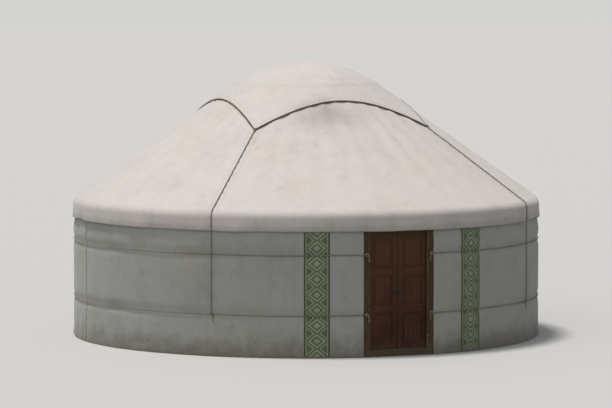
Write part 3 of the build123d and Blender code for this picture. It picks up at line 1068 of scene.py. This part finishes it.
frame_paints = (frame_paint, frame_paint_faded, bare_pine)
post_material, shader, vector = new_material("door_posts", Specular_IOR_Level=0.2)
parts = vector.parts()
within_post = abs(parts["X"]).inside(frame_inner, door_half_width)
from_corner = within_post.larger(parts["Y"] - frame_front)
rub = vector.through(rub_group, Distance=from_corner, Reach=edge_reach, Strength=edge_rub)
along_grain = vector.drawn_out(upright_grain)
painted_wood(shader, vector, along_grain, frame_paints, rub + post_wear, frame_soil_reach)
beam_material, shader, vector = new_material("door_beams", Specular_IOR_Level=0.2)
parts = vector.parts()
up_sill = (parts["Z"] - sill_top) / sill_top
off_step = joined_parts(vector.tree, X=parts["X"] / step_width, Z=up_sill).length()
rub = vector.through(rub_group, Distance=off_step, Reach=1.0, Strength=step_rub)
along_grain = vector.drawn_out(level_grain)
painted_wood(shader, vector, along_grain, frame_paints, rub + beam_wear, frame_soil_reach)
for side, _ in door_sides:
    dress(f"door_jamb_{side}", post_material, frame_edge)
dress("door_lintel", beam_material, frame_edge)
dress("door_threshold", beam_material, frame_edge)

# A round moulding or forged bar that follows a line, slightly uneven.
tree, enter = new_tree("round_bar", "Radius", "Unevenness", Sides="Int")
line = place(tree, "GeometryNodeMeshToCurve", enter["Geometry"])
inputs = {"Resolution": enter["Sides"], "Radius": enter["Radius"]}
section = place(tree, "GeometryNodeCurvePrimitiveCircle", **inputs)
inputs = {"Curve": line, "Profile_Curve": section, "Fill_Caps": True}
skin = place(tree, "GeometryNodeCurveToMesh", **inputs)
rough = place(tree, "ShaderNodeTexNoise", Scale=95.0, Detail=2.0) - 0.5
away = place(tree, "GeometryNodeInputNormal").scaled(rough * enter["Unevenness"])
forged = place(tree, "GeometryNodeSetPosition", Geometry=skin, Offset=away)
bar_tree = finish_tree(enter, forged)

# Round heads set on points, facing along Y or away from the yurt's axis.
tree, enter = new_tree("round_heads", "Radius", "Depth", "Facing")
points = place(tree, "GeometryNodeMeshToPoints", Mesh=enter["Geometry"])
parts = place(tree, "GeometryNodeInputPosition").parts()
facing = enter["Facing"]
radial = joined_parts(tree, X=parts["X"] * facing, Y=parts["Y"] * facing + (1 - facing))
faced = place(tree, align, Vector=radial, axis="Y")
knob = place(tree, "GeometryNodeMeshUVSphere", Segments=8, Rings=6, Radius=1.0)
knob_size = joined_parts(tree, X=enter["Radius"], Y=enter["Depth"], Z=enter["Radius"])
inputs = {"Points": points, "Instance": knob, "Rotation": faced, "Scale": knob_size}
head_tree = finish_tree(enter, place(tree, "GeometryNodeInstanceOnPoints", **inputs))

bead_radius = 0.0055
bead_inset = 0.017
bead_sink = 0.001
bead_ends = (sill_top + 0.004, skirt_hem + 0.01)
peg_head = 0.0095
peg_stand = 0.004
peg_offset = 0.010
peg_heights = (0.022, 0.048, 1.405, 1.428)
bead_across = frame_inner + bead_inset
peg_line = (frame_inner + door_half_width) / 2 + peg_offset
for name, side in door_sides:
    bead_line = [Vector((side * bead_across, frame_front + bead_sink, end)) for end in bead_ends]
    beads = made_by(
        bar_tree,
        new_wire(f"post_beads_{name}", bead_line),
        Radius=bead_radius,
        Sides=12,
        Unevenness=0.0005,
        Material=post_material,
    )
    settle(beads)
    spots = [Vector((side * peg_line, frame_front, height)) for height in peg_heights]
    pegs = made_by(
        head_tree,
        new_piece(f"post_pegs_{name}", spots),
        Radius=peg_head,
        Depth=peg_stand,
        Material=post_material,
    )
    settle(pegs)


# Door leaves
# Each leaf is a frame of stiles and rails round three raised panels, hung on
# wooden pins. Small rounded mouldings run round the panels, forged nails hold
# the joints, and both faces are painted a dark red, browner and lighter higher up.

leaf_edge = 0.0025
leaf_pin = 0.025
meeting, leaf_outer = (corner.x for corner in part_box("door_leaf_right"))
leaf_front, leaf_back = (corner.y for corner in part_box("door_leaf_right"))
leaf_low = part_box("door_leaf_right")[0].z + leaf_pin
leaf_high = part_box("door_leaf_right")[1].z - leaf_pin
stile_width = 0.062
rail_height = 0.090
panels = 3
panel_recess = 0.010
panel_pitch = (leaf_high - leaf_low - rail_height) / panels
panel_sides = (meeting + stile_width, leaf_outer - stile_width)
moulding_radius = 0.0045
moulding_sink = panel_recess * 0.55
nail_radius = 0.0075
nail_depth = 0.0032
nail_apart = 0.022
stile_middles = (meeting + stile_width / 2, leaf_outer - stile_width / 2)
pull_height = 0.760
ring_radius = 0.0245
handled_reach = 0.060
leaf_wear = 0.05
leaf_soil_reach = 0.20
leaf_soil_share = 0.2
leaf_paint_low = (0.052, 0.011, 0.008, 1)
leaf_paint_high = (0.105, 0.046, 0.019, 1)
leaf_paint_faded = (0.120, 0.050, 0.028, 1)
iron_dark = (0.045, 0.043, 0.042, 1)
iron_rust = (0.14, 0.065, 0.035, 1)

leaf_material, shader, vector = new_material("door_leaves", Specular_IOR_Level=0.18)
parts = vector.parts()
across_leaf = abs(parts["X"])
in_rail = ((parts["Z"] - leaf_low) % panel_pitch < rail_height) * across_leaf.between(*panel_sides)
numbered = {0: in_rail, 4: vector.drawn_out(upright_grain), 5: vector.drawn_out(level_grain)}
along_grain = place(vector.tree, "ShaderNodeMix", numbered=numbered, data_type="VECTOR")[1]
# The paint runs from dark red at the foot to a lighter brown at the top.
leaf_paint = parts["Z"].ramp(leaf_low, leaf_high).blend(leaf_paint_low, leaf_paint_high)
within_face = across_leaf.inside(meeting, leaf_outer).lesser(parts["Z"].inside(leaf_low, leaf_high))
from_edge = within_face.larger(parts["Y"].inside(leaf_front, leaf_back))
rub = vector.through(rub_group, Distance=from_edge, Reach=edge_reach, Strength=edge_rub)
up_ring = parts["Z"] - (pull_height - ring_radius)
off_pull = joined_parts(vector.tree, X=across_leaf - stile_middles[0], Z=up_ring).length()
handled = vector.through(rub_group, Distance=off_pull, Reach=handled_reach, Strength=edge_rub)
leaf_paints = (leaf_paint, leaf_paint_faded, bare_pine)
worn = rub + handled + leaf_wear
painted_wood(
    shader, vector, along_grain, leaf_paints, worn, leaf_soil_reach, leaf_soil_share
)

iron_material, shader, vector = new_material("forged_iron", Metallic=0.85)
rust = vector.noise(55.0, 5.0, 0.65).ramp(0.48, 0.72)
pitted = {"height": vector.noise(160.0, 3.0, 0.6), "strength": 0.4, "distance": 0.0006}
finish_shader(shader, rust.blend(iron_dark, iron_rust), rust * 0.35 + 0.42, **pitted)


def moulding_line(side, panel, depth):
    """A closed line round a panel, in from its edges by the moulding's radius."""
    low = leaf_low + rail_height + panel * panel_pitch
    low, high = low + moulding_radius, low + panel_pitch - rail_height - moulding_radius
    near, far = panel_sides[0] + moulding_radius, panel_sides[1] - moulding_radius
    corners = ((near, low), (far, low), (far, high), (near, high))
    return [Vector((side * across, depth, height)) for across, height in corners]


for name, side in door_sides:
    dress(f"door_leaf_{name}", leaf_material, leaf_edge)
    depths = (leaf_front + moulding_sink, leaf_back - moulding_sink)
    lines = [moulding_line(side, panel, depth) for depth in depths for panel in range(panels)]
    beads = made_by(
        bar_tree,
        new_wire(f"panel_mouldings_{name}", *lines, closed=True),
        Radius=moulding_radius,
        Sides=10,
        Material=leaf_material,
    )
    settle(beads, f"{name}_leaf")
    rail_middles = [leaf_low + rail_height / 2 + rail * panel_pitch for rail in range(panels + 1)]
    nails = [
        Vector((side * across, face, middle + lift))
        for face in (leaf_front, leaf_back)
        for middle in rail_middles
        for across in stile_middles
        for lift in (-nail_apart, nail_apart)
    ]
    heads = made_by(
        head_tree,
        new_piece(f"door_nails_{name}", nails),
        Radius=nail_radius,
        Depth=nail_depth,
        Material=iron_material,
    )
    settle(heads, f"{name}_leaf")


# Ring pulls
# A forged ring hangs from a staple through a scalloped iron plate on each
# meeting stile.

plate_radius = 0.027
plate_scallop = 0.0016
plate_petals = 8
plate_sides = 64
plate_top = 0.0060
plate_turning = (
    (0.35, 0.0052),
    (0.55, 0.0030),
    (0.80, 0.0026),
    (0.93, 0.0034),
    (1.0, 0.0016),
    (1.0, 0.0),
)
staple_radius = 0.0088
staple_wire = 0.0028
staple_steps = 18
staple_middle = Vector((0, -0.0020, -0.0005))
ring_wire = 0.0042
ring_steps = 56
ring_middle = Vector((0, -0.0085, 0.004 - ring_radius))


def turned_plate(centre):
    """A turned plate with a scalloped edge, flat against the leaf."""
    points = [centre - Vector((0, plate_top, 0))]
    for share, depth in plate_turning:
        for step in range(plate_sides):
            turn = 2 * pi * step / plate_sides
            scallop = plate_scallop * cos(plate_petals * turn) * share**3
            radius = share * (plate_radius + scallop)
            points.append(centre + Vector((radius * cos(turn), -depth, radius * sin(turn))))
    points.append(centre)
    faces = []
    last_ring = 1 + (len(plate_turning) - 1) * plate_sides
    for step in range(plate_sides):
        after = (step + 1) % plate_sides
        faces.append((0, 1 + after, 1 + step))
        for low in range(1, last_ring, plate_sides):
            high = low + plate_sides
            faces.append((low + step, low + after, high + after, high + step))
        faces.append((len(points) - 1, last_ring + step, last_ring + after))
    plate = new_piece("plate", points, faces=faces)
    edit = bmesh.new()
    edit.from_mesh(plate.data)
    bmesh.ops.recalc_face_normals(edit, faces=edit.faces)
    edit.to_mesh(plate.data)
    edit.free()
    plate.data.shade_smooth()
    plate.data.materials.append(iron_material)
    return plate


def joined(name, pieces):
    """One mesh object out of several."""
    with bpy.context.temp_override(
        active_object=pieces[0], selected_editable_objects=pieces, selected_objects=pieces
    ):
        bpy.ops.object.join()
    pieces[0].name = name
    return pieces[0]


for name, side in door_sides:
    middle = Vector((side * stile_middles[0], leaf_front, pull_height))
    turns = [pi * step / staple_steps for step in range(staple_steps + 1)]
    bent = [Vector((0, -sin(turn), cos(turn))) * staple_radius for turn in turns]
    staple = made_by(
        bar_tree,
        new_wire("staple", [middle + staple_middle + off for off in bent]),
        Radius=staple_wire,
        Sides=10,
        Unevenness=0.0004,
        Material=iron_material,
    )
    turns = [2 * pi * step / ring_steps for step in range(ring_steps)]
    bent = [Vector((cos(turn), 0, sin(turn))) * ring_radius for turn in turns]
    ring = made_by(
        bar_tree,
        new_wire("ring", [middle + ring_middle + off for off in bent], closed=True),
        Radius=ring_wire,
        Sides=12,
        Unevenness=0.0012,
        Material=iron_material,
    )
    pull = joined(f"ring_pull_{name}", [ring, turned_plate(middle), staple])
    settle(pull, f"{name}_leaf", f"door_pull_{name}")


# Lattice, poles and crown
# Willow laths are pinned with rawhide knots where they cross, and a woven band
# holds their heads in. Bent poles rise from the heads to the rim of the crown.
# All the wood is painted a brick red that has darkened with smoke.

pole_edge = 0.004
crown_edge = 0.003
knot_radius = 0.0085
knot_depth = 0.0055
lattice_rows = 6
crossing_low = 0.060
crossing_high = 1.530
lattice_radius = 2.760
lattice_depth = 0.024
tension_wide = 0.060
tension_pitch = 0.090
tension_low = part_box("tension_band")[0].z
smoked_red = (0.30, 0.085, 0.045, 1)
smoked_red_faded = (0.36, 0.155, 0.085, 1)
willow = (0.36, 0.24, 0.14, 1)
hide_pale = (0.42, 0.33, 0.21, 1)
hide_dark = (0.22, 0.15, 0.09, 1)
band_red = (0.26, 0.055, 0.040, 1)
band_cream = (0.50, 0.44, 0.34, 1)
band_blue = (0.060, 0.085, 0.120, 1)


def red_wood(name, along_grain, wear, soil_reach):
    """Smoked red paint, with a grain that a rule draws from the place."""
    material, shader, vector = new_material(name)
    paints = (smoked_red, smoked_red_faded, willow)
    painted_wood(shader, vector, along_grain(vector), paints, wear, soil_reach)
    return material


def grain_round_axis(around, outward):
    """A rule for grain round the yurt's axis: how often it changes around and outwards."""

    def from_place(vector):
        parts = vector.parts()
        turn = parts["X"].sum("ARCTAN2", parts["Y"]) * around
        reach = joined_parts(vector.tree, X=parts["X"], Y=parts["Y"]).length() * outward
        return joined_parts(vector.tree, X=turn, Y=reach, Z=parts["Z"] * outward)

    return from_place


pole_grain = grain_round_axis(around=95.0, outward=3.0)
pole_material = red_wood("roof_poles", pole_grain, wear=0.07, soil_reach=0.05)
rim_grain = grain_round_axis(around=2.6, outward=40.0)
rim_material = red_wood("crown_wood", rim_grain, wear=0.05, soil_reach=0.05)
lath_grain = partial(Flow.drawn_out, scale=(14.0, 14.0, 5.0))
lath_material = red_wood("lattice_laths", lath_grain, wear=0.14, soil_reach=0.10)
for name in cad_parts:
    if name.startswith("lattice_section"):
        dress(name, lath_material)
    elif name.startswith("roof_poles"):
        dress(name, pole_material, pole_edge)
    elif name.startswith("crown_rim") or name == "crown_bars":
        dress(name, rim_material, crown_edge)

knots = []
for row in range(lattice_rows + 1):
    height = crossing_low + (crossing_high - crossing_low) * row / lattice_rows
    shifted = (lattice_rows - row) % 2
    outer = lattice_radius if shifted else lattice_radius * cos(head_pitch / 2)
    for head in range(lattice_heads - shifted):
        angle = head_start + head_pitch * (head + 0.5 + 0.5 * shifted)
        knots.append(at(outer - lattice_depth, angle, height))
knot_heads = made_by(
    head_tree,
    new_piece("lattice_knots", knots),
    Radius=knot_radius,
    Depth=knot_depth,
    Facing=1.0,
    Material=hair_rope_material("rawhide", hide_pale, hide_dark),
)
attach(knot_heads, "house")

tension_material, shader, vector = new_material("tension_band", Roughness=0.92, Sheen_Weight=0.25)
parts = vector.parts()
round_wall = parts["X"].sum("ARCTAN2", parts["Y"]) * lattice_radius
up_band = parts["Z"] - tension_low
band_colours = (band_red, band_cream, band_blue, band_blue)
weave_lozenges(shader, up_band, round_wall, tension_wide, tension_pitch, band_colours)
dress("tension_band", tension_material)


# Floor, backdrop, lamps and camera
# A pale floor and backdrop stand in for a studio, with soft light from high behind
# the yurt on its left, and a long lens that looks from far away and a little above.

view_azimuth = radians(-22.5)
view_elevation = radians(4)
view_distance = 41.0
view_lens = 200.0
aim = Vector((0, 0, 1.55))
sun_direction = Vector((-0.16, 0.10, 0.98))
sun_energy = 2.03
sun_spread = radians(12)
sun_colour = (1.0, 0.97, 0.93)
fill_direction = Vector((-0.90, -0.62, 0.50))
fill_energy = 0.35
fill_spread = radians(60)
half_floor = 200.0
floor_colour = (0.70, 0.695, 0.68, 1)
floor_bounce = (0.20, 0.21, 0.19, 1)
backdrop_colour = (0.692, 0.687, 0.669, 1)
backdrop_strength = 0.95
soft_light_colour = (0.92, 0.95, 1.0, 1)
soft_light_strength = 0.265


def seen_rays(tree, *kinds):
    """1 for what the camera sees, and 0 for the light that a surface gives."""
    paths = place(tree, "ShaderNodeLightPath")
    seen = paths["Is Camera Ray"]
    for kind in kinds:
        seen = seen.larger(paths[kind])
    return seen


corners = [(x * half_floor, y * half_floor, 0) for x, y in ((-1, -1), (1, -1), (1, 1), (-1, 1))]
floor = new_piece("floor", corners, faces=[(0, 1, 2, 3)])
floor_material, shader, vector = new_material("floor", Roughness=0.9)
seen = seen_rays(vector.tree, "Is Glossy Ray")
finish_shader(shader, seen.blend(floor_bounce, floor_colour))
floor.data.materials.append(floor_material)

world = bpy.data.worlds.new("studio")
scene.world = world
world.use_nodes = True
tree = world.node_tree
soft_light = place(tree, "ShaderNodeBackground", soft_light_colour, soft_light_strength)
seen_backdrop = place(tree, "ShaderNodeBackground", backdrop_colour, backdrop_strength)
seen = seen_rays(tree, "Is Glossy Ray", "Is Transmission Ray")
backdrop = place(tree, "ShaderNodeMixShader", seen, soft_light, seen_backdrop)
tree.links.new(backdrop.socket, tree.nodes["World Output"].inputs["Surface"])


def hang_lamp(name, direction, energy, spread, colour=(1.0, 1.0, 1.0)):
    """A far lamp that shines from a direction."""
    light = bpy.data.lights.new(name, "SUN")
    light.energy = energy
    light.angle = spread
    light.color = colour
    new_object(name, light).rotation_euler = direction.to_track_quat("Z", "Y").to_euler()


hang_lamp("high_lamp", sun_direction, sun_energy, sun_spread, sun_colour)
hang_lamp("front_lamp", fill_direction, fill_energy, fill_spread)

lens = bpy.data.cameras.new("camera")
lens.lens = view_lens
lens.clip_end = 4 * half_floor
camera = new_object("camera", lens)
back = at(cos(view_elevation), view_azimuth, sin(view_elevation))
camera.location = aim + back * view_distance
camera.rotation_euler = back.to_track_quat("Z", "Y").to_euler()
scene.camera = camera
scene.view_settings.view_transform = "Standard"
